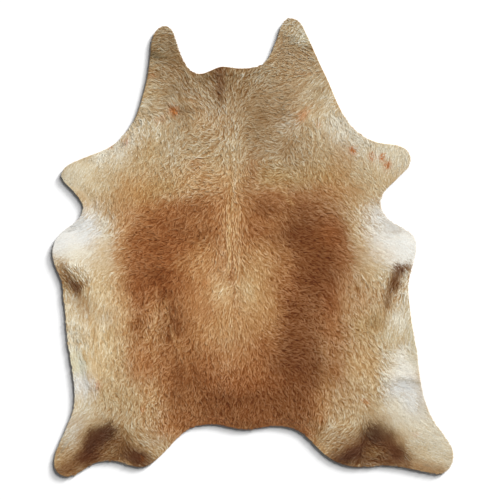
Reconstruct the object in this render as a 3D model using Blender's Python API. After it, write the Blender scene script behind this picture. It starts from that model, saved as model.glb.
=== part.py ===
"""A whole cowhide with its hair on, laid flat with the neck towards +Y and the hair side up.

Metres, +Z up. The origin is on the floor, under the middle of the hide.
"""

from collections import namedtuple

import bmesh
import bpy
import numpy as np
from mathutils.geometry import delaunay_2d_cdt

CENTIMETRE = 0.01
MILLIMETRE = 0.001

# The leather is 2.5 mm thick and its close hair stands another 2.5 mm, which thins out at the cut edge.
FULL_THICKNESS = 5.0 * MILLIMETRE
EDGE_SHARE = 0.6
SHOULDER_WIDTH = 1.4 * CENTIMETRE

# The dried edge stands a little off the floor all the way round, the most where it faces left and back.
RIM_HEIGHT = 7.0 * MILLIMETRE
RIM_LEAST_SHARE = 0.15
RIM_WIDTH = 4.2 * CENTIMETRE
RIM_FACING_DEG = 215.0

# How far apart the edge's points and the points inside it are.
LONGEST_EDGE_STEP = 4.5 * CENTIMETRE
LARGEST_EDGE_TURN_DEG = 14.0
INNER_SPACING = 4.8 * CENTIMETRE
INNER_MARGIN = 3.4 * CENTIMETRE

COAT_COLOUR = (0.42, 0.235, 0.11)
COAT_ROUGHNESS = 0.75

Landmark = namedtuple("Landmark", "name x_cm y_cm heading_deg")
Ridge = namedtuple("Ridge", "name x0_cm y0_cm x1_cm y1_cm width_cm height_mm")
Lift = namedtuple("Lift", "name x_cm y_cm radius_cm height_mm")

# The cut edge, clockwise seen from above. The heading is the way the edge runs there, from +X.
EDGE = [
    Landmark("nape", -6.0, 82.4, 0),
    Landmark("right flap root", 7.6, 87.0, 60),
    Landmark("right flap inner side", 12.2, 98.0, 74),
    Landmark("right flap tip", 17.8, 105.3, 0),
    Landmark("right flap shoulder", 23.6, 101.0, -64),
    Landmark("right neck", 33.9, 78.8, -64),
    Landmark("right shoulder", 44.1, 57.8, -54),
    Landmark("right foreleg top", 60.0, 47.9, -8),
    Landmark("right foreleg corner", 69.9, 45.7, -32),
    Landmark("right foreleg tip", 72.9, 40.4, -92),
    Landmark("right foreleg underside", 66.5, 31.6, -134),
    Landmark("right armpit", 58.7, 20.4, -90),
    Landmark("right belly top", 66.4, 10.4, -26),
    Landmark("right belly corner", 75.4, 0.6, -90),
    Landmark("right waist", 71.9, -17.0, -90),
    Landmark("right flank", 76.0, -52.0, -84),
    Landmark("right hock", 83.0, -79.6, -61),
    Landmark("right hind tip", 92.2, -96.4, -92),
    Landmark("right toe", 84.6, -104.2, -186),
    Landmark("right hind arch", 64.0, -100.4, -184),
    Landmark("right heel", 49.0, -101.0, -180),
    Landmark("right thigh", 32.0, -94.2, -222),
    Landmark("right rump", 22.0, -84.9, -212),
    Landmark("right of the tail", 9.0, -82.2, -178),
    Landmark("tail", -3.0, -83.8, -180),
    Landmark("left of the tail", -18.0, -81.4, -180),
    Landmark("left rump", -30.6, -84.4, -146),
    Landmark("left thigh", -41.0, -94.6, -136),
    Landmark("left heel", -52.0, -101.0, -184),
    Landmark("left hind arch", -65.6, -98.0, -180),
    Landmark("left toe root", -75.6, -101.2, -148),
    Landmark("left toe", -85.4, -105.4, -184),
    Landmark("left hind tip", -91.0, -99.6, -270),
    Landmark("left shin", -86.0, -84.5, -292),
    Landmark("left hock", -81.8, -71.0, -270),
    Landmark("left flank", -84.8, -43.0, -265),
    Landmark("left waist", -87.4, -18.5, -263),
    Landmark("left belly corner", -91.8, -2.6, -270),
    Landmark("left belly top", -87.3, 7.0, -318),
    Landmark("left armpit", -77.7, 17.6, -270),
    Landmark("left foreleg underside", -82.2, 25.6, -231),
    Landmark("left foreleg tip", -87.7, 33.3, -270),
    Landmark("left foreleg top", -79.0, 40.6, -337),
    Landmark("left shoulder", -66.4, 45.8, -332),
    Landmark("left neck", -55.6, 56.8, -302),
    Landmark("left nape side", -50.0, 72.0, -285),
    Landmark("left flap outer side", -47.0, 91.5, -274),
    Landmark("left flap tip", -40.3, 101.6, -360),
    Landmark("left flap shoulder", -36.2, 97.6, -428),
    Landmark("left flap inner side", -32.4, 86.8, -426),
    Landmark("left nape dip", -24.4, 79.9, -360),
    Landmark("nape tuft", -13.4, 83.2, -360),
]

# Low wrinkles, where the skin has dried a little off the floor along a line.
RIDGES = [
    Ridge("right neck wrinkle", 17.0, 64.0, 36.0, 80.0, 9.0, 2.5),
    Ridge("left neck wrinkle", -48.0, 69.0, -28.0, 65.5, 9.0, 2.0),
    Ridge("right flank crease", 62.0, -59.5, 80.0, -62.5, 9.0, 2.0),
    Ridge("left flank crease", -81.0, -42.0, -73.5, -62.0, 9.0, 2.0),
]

# Places on the edge where the hide curls further off the floor.
LIFTS = [
    Lift("right flap", 17.8, 106.0, 17.0, 3.5),
    Lift("left flap", -41.5, 102.5, 17.0, 7.0),
    Lift("left neck", -56.0, 76.0, 24.0, 8.5),
    Lift("right foreleg", 74.5, 41.0, 16.0, 3.0),
    Lift("left foreleg", -89.0, 34.0, 18.0, 7.5),
    Lift("right belly", 76.5, -1.0, 15.0, 3.0),
    Lift("left belly", -93.0, -2.5, 18.0, 9.0),
    Lift("left flank", -86.0, -35.0, 14.0, 7.5),
    Lift("right toes", 91.0, -103.0, 20.0, 6.5),
    Lift("left toes", -90.0, -105.0, 20.0, 7.5),
    Lift("left heel", -51.0, -103.0, 16.0, 6.5),
    Lift("right heel", 50.0, -103.0, 16.0, 6.5),
    Lift("tail", -3.0, -85.5, 16.0, 6.0),
]


def edge_points():
    """The cut edge as points in metres, with the middle of its box at the origin.

    Each span is a cubic between two landmarks that leaves and arrives along their headings. Its tangents
    are chord / cos(turn / 4) ** 2 long, with which it nearly follows the arc that turns as far.
    """
    spots = np.array([(mark.x_cm, mark.y_cm) for mark in EDGE]) * CENTIMETRE
    headings = np.radians([mark.heading_deg for mark in EDGE])
    spans = []
    for here in range(len(EDGE)):
        there = (here + 1) % len(EDGE)
        chord = spots[there] - spots[here]
        length = np.linalg.norm(chord)
        turn = (headings[there] - headings[here] + np.pi) % (2 * np.pi) - np.pi
        pull = length / np.cos(turn / 4) ** 2
        leaving = pull * np.array([np.cos(headings[here]), np.sin(headings[here])])
        arriving = pull * np.array([np.cos(headings[there]), np.sin(headings[there])])
        steps = max(
            int(np.ceil(length / LONGEST_EDGE_STEP)),
            int(np.ceil(abs(np.degrees(turn)) / LARGEST_EDGE_TURN_DEG)),
        )
        u = np.arange(steps)[:, None] / steps
        along = u**2 * (3 - 2 * u)
        spans.append(spots[here] + along * chord + u * (1 - u) ** 2 * leaving - u**2 * (1 - u) * arriving)
    points = np.concatenate(spans)
    return points - (points.min(axis=0) + points.max(axis=0)) / 2


def inset(points, distance):
    """The points of a clockwise loop, moved inwards by a distance."""
    ahead = np.roll(points, -1, axis=0) - np.roll(points, 1, axis=0)
    ahead /= np.linalg.norm(ahead, axis=1)[:, None]
    inwards = np.stack([ahead[:, 1], -ahead[:, 0]], axis=1)
    return points + distance * inwards


def is_inside(points, loop):
    """Whether each point is inside the loop, by counting the sides to its right that it faces."""
    x, y = points[:, 0][:, None], points[:, 1][:, None]
    x0, y0 = loop[:, 0], loop[:, 1]
    x1, y1 = np.roll(x0, -1), np.roll(y0, -1)
    spans_y = (y0 > y) != (y1 > y)
    rise = np.where(y1 == y0, 1.0, y1 - y0)
    crossing_x = x0 + (y - y0) / rise * (x1 - x0)
    return (spans_y & (x < crossing_x)).sum(axis=1) % 2 == 1


def nearest_side(points, loop):
    """Each point's least distance to the loop's sides, which side that is and the share of it passed there."""
    run = np.roll(loop, -1, axis=0) - loop
    offset = points[:, None] - loop
    along = np.clip((offset * run).sum(axis=2) / (run * run).sum(axis=1), 0, 1)
    gaps = np.linalg.norm(offset - along[..., None] * run, axis=2)
    side = gaps.argmin(axis=1)
    row = np.arange(len(points))
    return gaps[row, side], side, along[row, side]


def inner_points(loop):
    """Points of a triangular lattice inside the loop, clear of its edge."""
    row_spacing = INNER_SPACING * np.sqrt(3) / 2
    reach = np.abs(loop).max()
    rows = np.arange(-reach, reach, row_spacing)
    columns = np.arange(-reach, reach, INNER_SPACING)
    x, y = np.meshgrid(columns, rows)
    x = x + INNER_SPACING / 2 * (np.arange(len(rows)) % 2)[:, None]
    lattice = np.stack([x.ravel(), y.ravel()], axis=1)
    lattice = lattice[is_inside(lattice, loop)]
    return lattice[nearest_side(lattice, loop)[0] > INNER_MARGIN]


def soft_step(share):
    """A bell from 1 where share is 0 to exactly 0 where it is 1 or more, flat at both ends."""
    return np.clip(1 - share**2, 0, 1) ** 2


def rim_height(points, edge):
    """The height of the dried rim at each point, by the way that the nearest place on the edge faces."""
    ahead = np.roll(edge, -1, axis=0) - np.roll(edge, 1, axis=0)
    outwards = np.arctan2(ahead[:, 0], -ahead[:, 1])
    facing = np.cos(outwards - np.radians(RIM_FACING_DEG))
    curl = RIM_HEIGHT * np.clip(0.5 + 0.75 * facing, RIM_LEAST_SHARE, 1)
    gap, side, along = nearest_side(points, edge)
    return (curl[side] * (1 - along) + np.roll(curl, -1)[side] * along) * soft_step(gap / RIM_WIDTH)


def height_off_floor(points, edge):
    """How far the leather's underside is off the floor at each point: 0 nearly everywhere."""
    height = rim_height(points, edge)
    for ridge in RIDGES:
        start = np.array([ridge.x0_cm, ridge.y0_cm]) * CENTIMETRE
        run = np.array([ridge.x1_cm, ridge.y1_cm]) * CENTIMETRE - start
        along = np.clip((points - start) @ run / (run @ run), 0, 1)
        away = np.linalg.norm(points - start - along[:, None] * run, axis=1)
        half_width = ridge.width_cm * CENTIMETRE / 2
        swell = ridge.height_mm * MILLIMETRE * soft_step(away / half_width)
        height = np.maximum(height, swell)
    for lift in LIFTS:
        centre = np.array([lift.x_cm, lift.y_cm]) * CENTIMETRE
        away = np.linalg.norm(points - centre, axis=1)
        curl = lift.height_mm * MILLIMETRE * soft_step(away / (lift.radius_cm * CENTIMETRE))
        height = np.maximum(height, curl)
    return height


def principled(name, colour, roughness):
    material = bpy.data.materials.new(name)
    material.use_nodes = True
    shader = material.node_tree.nodes["Principled BSDF"]
    shader.inputs["Base Color"].default_value = (*colour, 1.0)
    shader.inputs["Roughness"].default_value = roughness
    shader.inputs["Metallic"].default_value = 0.0
    return material


def underside_mesh():
    """The leather's underside as triangles facing up, and how many of its first points are on the edge."""
    edge = edge_points()
    flat = np.concatenate([edge, inset(edge, SHOULDER_WIDTH), inner_points(edge)])
    sides = [(i, (i + 1) % len(edge)) for i in range(len(edge))]
    inside_only = 1
    smallest_gap = 1e-5
    found = delaunay_2d_cdt([tuple(point) for point in flat], sides, [], inside_only, smallest_gap)
    spots, triangles = np.array([tuple(point) for point in found[0]]), found[2]
    heights = height_off_floor(spots, edge)

    sheet = bmesh.new()
    corners = [sheet.verts.new((x, y, z)) for (x, y), z in zip(spots, heights)]
    for triangle in triangles:
        face = sheet.faces.new([corners[i] for i in triangle])
        face.normal_update()
        if face.normal.z < 0:
            face.normal_flip()
    mesh = bpy.data.meshes.new("hide")
    sheet.to_mesh(mesh)
    sheet.free()
    return mesh, len(edge)


def make_hide():
    """The leather and its close hair as one closed sheet, thinner at its cut edge."""
    mesh, edge_count = underside_mesh()
    hide = bpy.data.objects.new("hide", mesh)
    bpy.context.scene.collection.objects.link(hide)
    mesh.materials.append(principled("cowhide coat", COAT_COLOUR, COAT_ROUGHNESS))

    full = hide.vertex_groups.new(name="full thickness")
    full.add(list(range(edge_count, len(mesh.vertices))), 1.0, "REPLACE")
    solid = hide.modifiers.new("thickness", "SOLIDIFY")
    solid.thickness = FULL_THICKNESS
    solid.offset = 1.0
    solid.vertex_group = full.name
    solid.thickness_vertex_group = EDGE_SHARE
    return hide


for old in list(bpy.data.objects):
    bpy.data.objects.remove(old, do_unlink=True)

make_hide()
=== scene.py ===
# A whole cowhide laid flat, hair side up: the skin with its cut edge, and the coat of lying locks on it.
# Metres, +Y to the neck, +X to the right, +Z up. Tables are in centimetres unless a name says otherwise.
from collections import namedtuple

import bpy
import numpy as np
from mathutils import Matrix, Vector
from mathutils.geometry import delaunay_2d_cdt


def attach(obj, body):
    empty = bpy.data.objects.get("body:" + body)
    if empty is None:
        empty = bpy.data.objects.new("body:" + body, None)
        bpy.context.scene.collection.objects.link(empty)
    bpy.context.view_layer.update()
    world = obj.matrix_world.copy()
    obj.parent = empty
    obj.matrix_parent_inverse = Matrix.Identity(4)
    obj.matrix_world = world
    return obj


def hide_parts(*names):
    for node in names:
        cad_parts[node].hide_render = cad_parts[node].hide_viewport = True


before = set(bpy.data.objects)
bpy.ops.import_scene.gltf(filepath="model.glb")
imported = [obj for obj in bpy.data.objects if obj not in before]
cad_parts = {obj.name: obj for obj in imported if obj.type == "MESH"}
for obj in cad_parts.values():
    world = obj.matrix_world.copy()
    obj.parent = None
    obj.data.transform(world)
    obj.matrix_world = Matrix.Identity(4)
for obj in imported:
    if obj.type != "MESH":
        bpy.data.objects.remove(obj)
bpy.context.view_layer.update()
print("frame loaded")

cm = 0.01
mm = 0.001


# The rows of a table as named tuples of one kind.
def listOf(kind, rows):
    return [kind(*row) for row in rows]


# the cut edge, and where the skin leaves the floor
Landmark = namedtuple("Landmark", "name x y heading")
Ridge = namedtuple("Ridge", "name x0 y0 x1 y1 width height")  # height in mm
Lift = namedtuple("Lift", "name x y radius height")  # height in mm

# clockwise seen from above; the heading is the way the edge runs there, in degrees from +X
cutEdge = listOf(Landmark, [
    ("nape", -6.0, 82.4, 0),
    ("right flap root", 7.6, 87.0, 60),
    ("right flap inner side", 12.2, 98.0, 74),
    ("right flap tip", 17.8, 105.3, 0),
    ("right flap shoulder", 23.6, 101.0, -64),
    ("right neck", 33.9, 78.8, -64),
    ("right shoulder", 44.1, 57.8, -54),
    ("right foreleg top", 60.0, 47.9, -8),
    ("right foreleg corner", 69.9, 45.7, -32),
    ("right foreleg tip", 72.9, 40.4, -92),
    ("right foreleg underside", 66.5, 31.6, -134),
    ("right armpit", 58.7, 20.4, -90),
    ("right belly top", 66.4, 10.4, -26),
    ("right belly corner", 75.4, 0.6, -90),
    ("right waist", 71.9, -17.0, -90),
    ("right flank", 76.0, -52.0, -84),
    ("right hock", 83.0, -79.6, -61),
    ("right hind tip", 92.2, -96.4, -92),
    ("right toe", 84.6, -104.2, -186),
    ("right hind arch", 64.0, -100.4, -184),
    ("right heel", 49.0, -101.0, -180),
    ("right thigh", 32.0, -94.2, -222),
    ("right rump", 22.0, -84.9, -212),
    ("right of the tail", 9.0, -82.2, -178),
    ("tail", -3.0, -83.8, -180),
    ("left of the tail", -18.0, -81.4, -180),
    ("left rump", -30.6, -84.4, -146),
    ("left thigh", -41.0, -94.6, -136),
    ("left heel", -52.0, -101.0, -184),
    ("left hind arch", -65.6, -98.0, -180),
    ("left toe root", -75.6, -101.2, -148),
    ("left toe", -85.4, -105.4, -184),
    ("left hind tip", -91.0, -99.6, -270),
    ("left shin", -86.0, -84.5, -292),
    ("left hock", -81.8, -71.0, -270),
    ("left flank", -84.8, -43.0, -265),
    ("left waist", -87.4, -18.5, -263),
    ("left belly corner", -91.8, -2.6, -270),
    ("left belly top", -87.3, 7.0, -318),
    ("left armpit", -77.7, 17.6, -270),
    ("left foreleg underside", -82.2, 25.6, -231),
    ("left foreleg tip", -87.7, 33.3, -270),
    ("left foreleg top", -79.0, 40.6, -337),
    ("left shoulder", -66.4, 45.8, -332),
    ("left neck", -55.6, 56.8, -302),
    ("left nape side", -50.0, 72.0, -285),
    ("left flap outer side", -47.0, 91.5, -274),
    ("left flap tip", -40.3, 101.6, -360),
    ("left flap shoulder", -36.2, 97.6, -428),
    ("left flap inner side", -32.4, 86.8, -426),
    ("left nape dip", -24.4, 79.9, -360),
    ("nape tuft", -13.4, 83.2, -360),
])

ridges = listOf(Ridge, [
    ("right neck wrinkle", 17.0, 64.0, 36.0, 80.0, 9.0, 2.5),
    ("left neck wrinkle", -48.0, 69.0, -28.0, 65.5, 9.0, 2.0),
    ("right flank crease", 62.0, -59.5, 80.0, -62.5, 9.0, 2.0),
    ("left flank crease", -81.0, -42.0, -73.5, -62.0, 9.0, 2.0),
])

lifts = listOf(Lift, [
    ("right flap", 17.8, 106.0, 17.0, 3.5),
    ("left flap", -41.5, 102.5, 17.0, 7.0),
    ("left neck", -56.0, 76.0, 24.0, 8.5),
    ("right foreleg", 74.5, 41.0, 16.0, 3.0),
    ("left foreleg", -89.0, 34.0, 18.0, 7.5),
    ("right belly", 76.5, -1.0, 15.0, 3.0),
    ("left belly", -93.0, -2.5, 18.0, 9.0),
    ("left flank", -86.0, -35.0, 14.0, 7.5),
    ("right toes", 91.0, -103.0, 20.0, 6.5),
    ("left toes", -90.0, -105.0, 20.0, 7.5),
    ("left heel", -51.0, -103.0, 16.0, 6.5),
    ("right heel", 50.0, -103.0, 16.0, 6.5),
    ("tail", -3.0, -85.5, 16.0, 6.0),
])
# the dried edge stands off the floor all the way round, the most where it faces left and back
curl = {"height": 7.0 * mm, "leastShare": 0.15, "width": 4.2 * cm, "facing": 215}
edgeStep = 9 * mm


# Each span leaves and arrives along its landmarks' headings: start + u^2(3-2u) chord + u(1-u)^2 leaving
# - u^2(1-u) arriving, with tangents chord / cos(turn/4)^2 long. The loop is then centred on its box.
def edgeLoop(step):
    spots = np.array([(m.x, m.y) for m in cutEdge]) * cm
    headings = np.radians([m.heading for m in cutEdge])
    ways = np.stack([np.cos(headings), np.sin(headings)], axis=1)
    nextWays = np.roll(ways, -1, axis=0)
    chords = np.roll(spots, -1, axis=0) - spots
    lengths = np.linalg.norm(chords, axis=1)
    turns = (np.roll(headings, -1) - headings + np.pi) % (2 * np.pi) - np.pi
    pulls = lengths / np.cos(turns / 4) ** 2
    spans = []
    for k, length in enumerate(lengths):
        u = np.arange(0, 1 - 1e-9, 1 / np.ceil(length / step))[:, None]
        spans.append(spots[k] + u**2 * (3 - 2 * u) * chords[k]
                     + u * (1 - u) ** 2 * pulls[k] * ways[k] - u**2 * (1 - u) * pulls[k] * nextWays[k])
    loop = np.concatenate(spans)
    return loop - (loop.min(axis=0) + loop.max(axis=0)) / 2


# The height of the curl at each point of the edge: a share of 0.5 + 0.75 cos(outward way - facing), held
# between the least share and 1.
def curlHeights(loop):
    ahead = np.roll(loop, -1, axis=0) - np.roll(loop, 1, axis=0)
    outwards = np.arctan2(ahead[:, 0], -ahead[:, 1])
    facing = np.cos(outwards - np.radians(curl["facing"]))
    return curl["height"] * np.clip(0.5 + 0.75 * facing, curl["leastShare"], 1)


edge = edgeLoop(edgeStep)
edgeCurl = curlHeights(edge)


# How far a place is inside the cut edge, below 0 outside it: the least distance to the loop's sides, signed
# by whether an even or odd number of them lies to its right. Also gives the curl's height at that side.
def insideBy(x, y):
    atOnce = 4000  # places reckoned together, to spare memory
    a, b = edge.astype(np.float32), np.roll(edge, -1, axis=0).astype(np.float32)
    run = b - a
    square = (run * run).sum(axis=1)
    depths, heights = [], []
    for part in np.array_split(np.stack([x, y], axis=1).astype(np.float32), max(1, len(x) // atOnce)):
        dx, dy = part[:, :1] - a[:, 0], part[:, 1:] - a[:, 1]
        t = np.clip((dx * run[:, 0] + dy * run[:, 1]) / square, 0, 1)
        away = (dx - t * run[:, 0]) ** 2 + (dy - t * run[:, 1]) ** 2
        side = away.argmin(axis=1)
        gap = np.sqrt(away[np.arange(len(side)), side])
        faces = (a[:, 1] > part[:, 1:]) != (b[:, 1] > part[:, 1:])
        rise = np.where(run[:, 1] == 0, 1, run[:, 1])
        crossings = (faces & (dx < dy / rise * run[:, 0])).sum(axis=1)
        depths.append(np.where(crossings % 2 == 1, gap, -gap))
        heights.append(edgeCurl[side])
    return np.concatenate(depths), np.concatenate(heights)


# A bell, (1 - share^2)^2 and 0 from share 1 on.
def bell(share):
    return np.clip(1 - share**2, 0, 1) ** 2


# The skin's underside stands off the floor by the largest bell of its edge's curl and any ridge or lift there.
def floorGap(x, y, depth, curlHeight):
    height = curlHeight * bell(depth / curl["width"])
    for r in ridges:
        sx, sy = r.x0 * cm, r.y0 * cm
        rx, ry = r.x1 * cm - sx, r.y1 * cm - sy
        t = np.clip(((x - sx) * rx + (y - sy) * ry) / (rx * rx + ry * ry), 0, 1)
        away = np.hypot(x - sx - t * rx, y - sy - t * ry)
        height = np.maximum(height, r.height * mm * bell(away / (r.width * cm / 2)))
    for k in lifts:
        away = np.hypot(x - k.x * cm, y - k.y * cm)
        height = np.maximum(height, k.height * mm * bell(away / (k.radius * cm)))
    return height


# Smooth noise from -1 to 1: chance values on a square lattice, eased between its corners.
def softNoise(x, y, size, seed):
    cells = 211  # before it repeats
    dice = np.random.default_rng(seed).uniform(-1, 1, (cells, cells))
    i, j = np.floor(x / size).astype(int), np.floor(y / size).astype(int)
    u, v = x / size - i, y / size - j
    u, v = u * u * (3 - 2 * u), v * v * (3 - 2 * v)
    i0, i1, j0, j1 = i % cells, (i + 1) % cells, j % cells, (j + 1) % cells
    low = dice[i0, j0] * (1 - u) + dice[i1, j0] * u
    high = dice[i0, j1] * (1 - u) + dice[i1, j1] * u
    return low * (1 - v) + high * v


# the coat's colours as they look in daylight, red, green and blue from 0 to 255
hair = {
    "cream": (237, 234, 225),
    "ash": (217, 215, 209),
    "ivory": (226, 219, 200),
    "lichen": (209, 205, 180),
    "parchment": (214, 202, 176),
    "bone": (206, 191, 161),
    "oat": (199, 178, 143),
    "sand": (208, 180, 138),
    "straw": (187, 161, 123),
    "dust": (174, 152, 122),
    "taupe": (155, 130, 101),
    "greige": (150, 136, 111),
    "stone": (190, 180, 158),
    "smudge": (102, 88, 66),
    "fawn": (183, 149, 110),
    "honey": (199, 159, 110),
    "gold": (186, 142, 97),
    "ochre": (173, 138, 90),
    "copper": (180, 106, 56),
    "caramel": (168, 118, 79),
    "ginger": (152, 101, 67),
    "rust": (140, 86, 55),
    "brown": (126, 81, 54),
    "chestnut": (111, 68, 46),
    "olive": (126, 98, 68),
    "bark": (110, 76, 53),
    "umber": (82, 48, 33),
    "soot": (64, 40, 30),
    "mahogany": (108, 46, 12),
}

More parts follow.
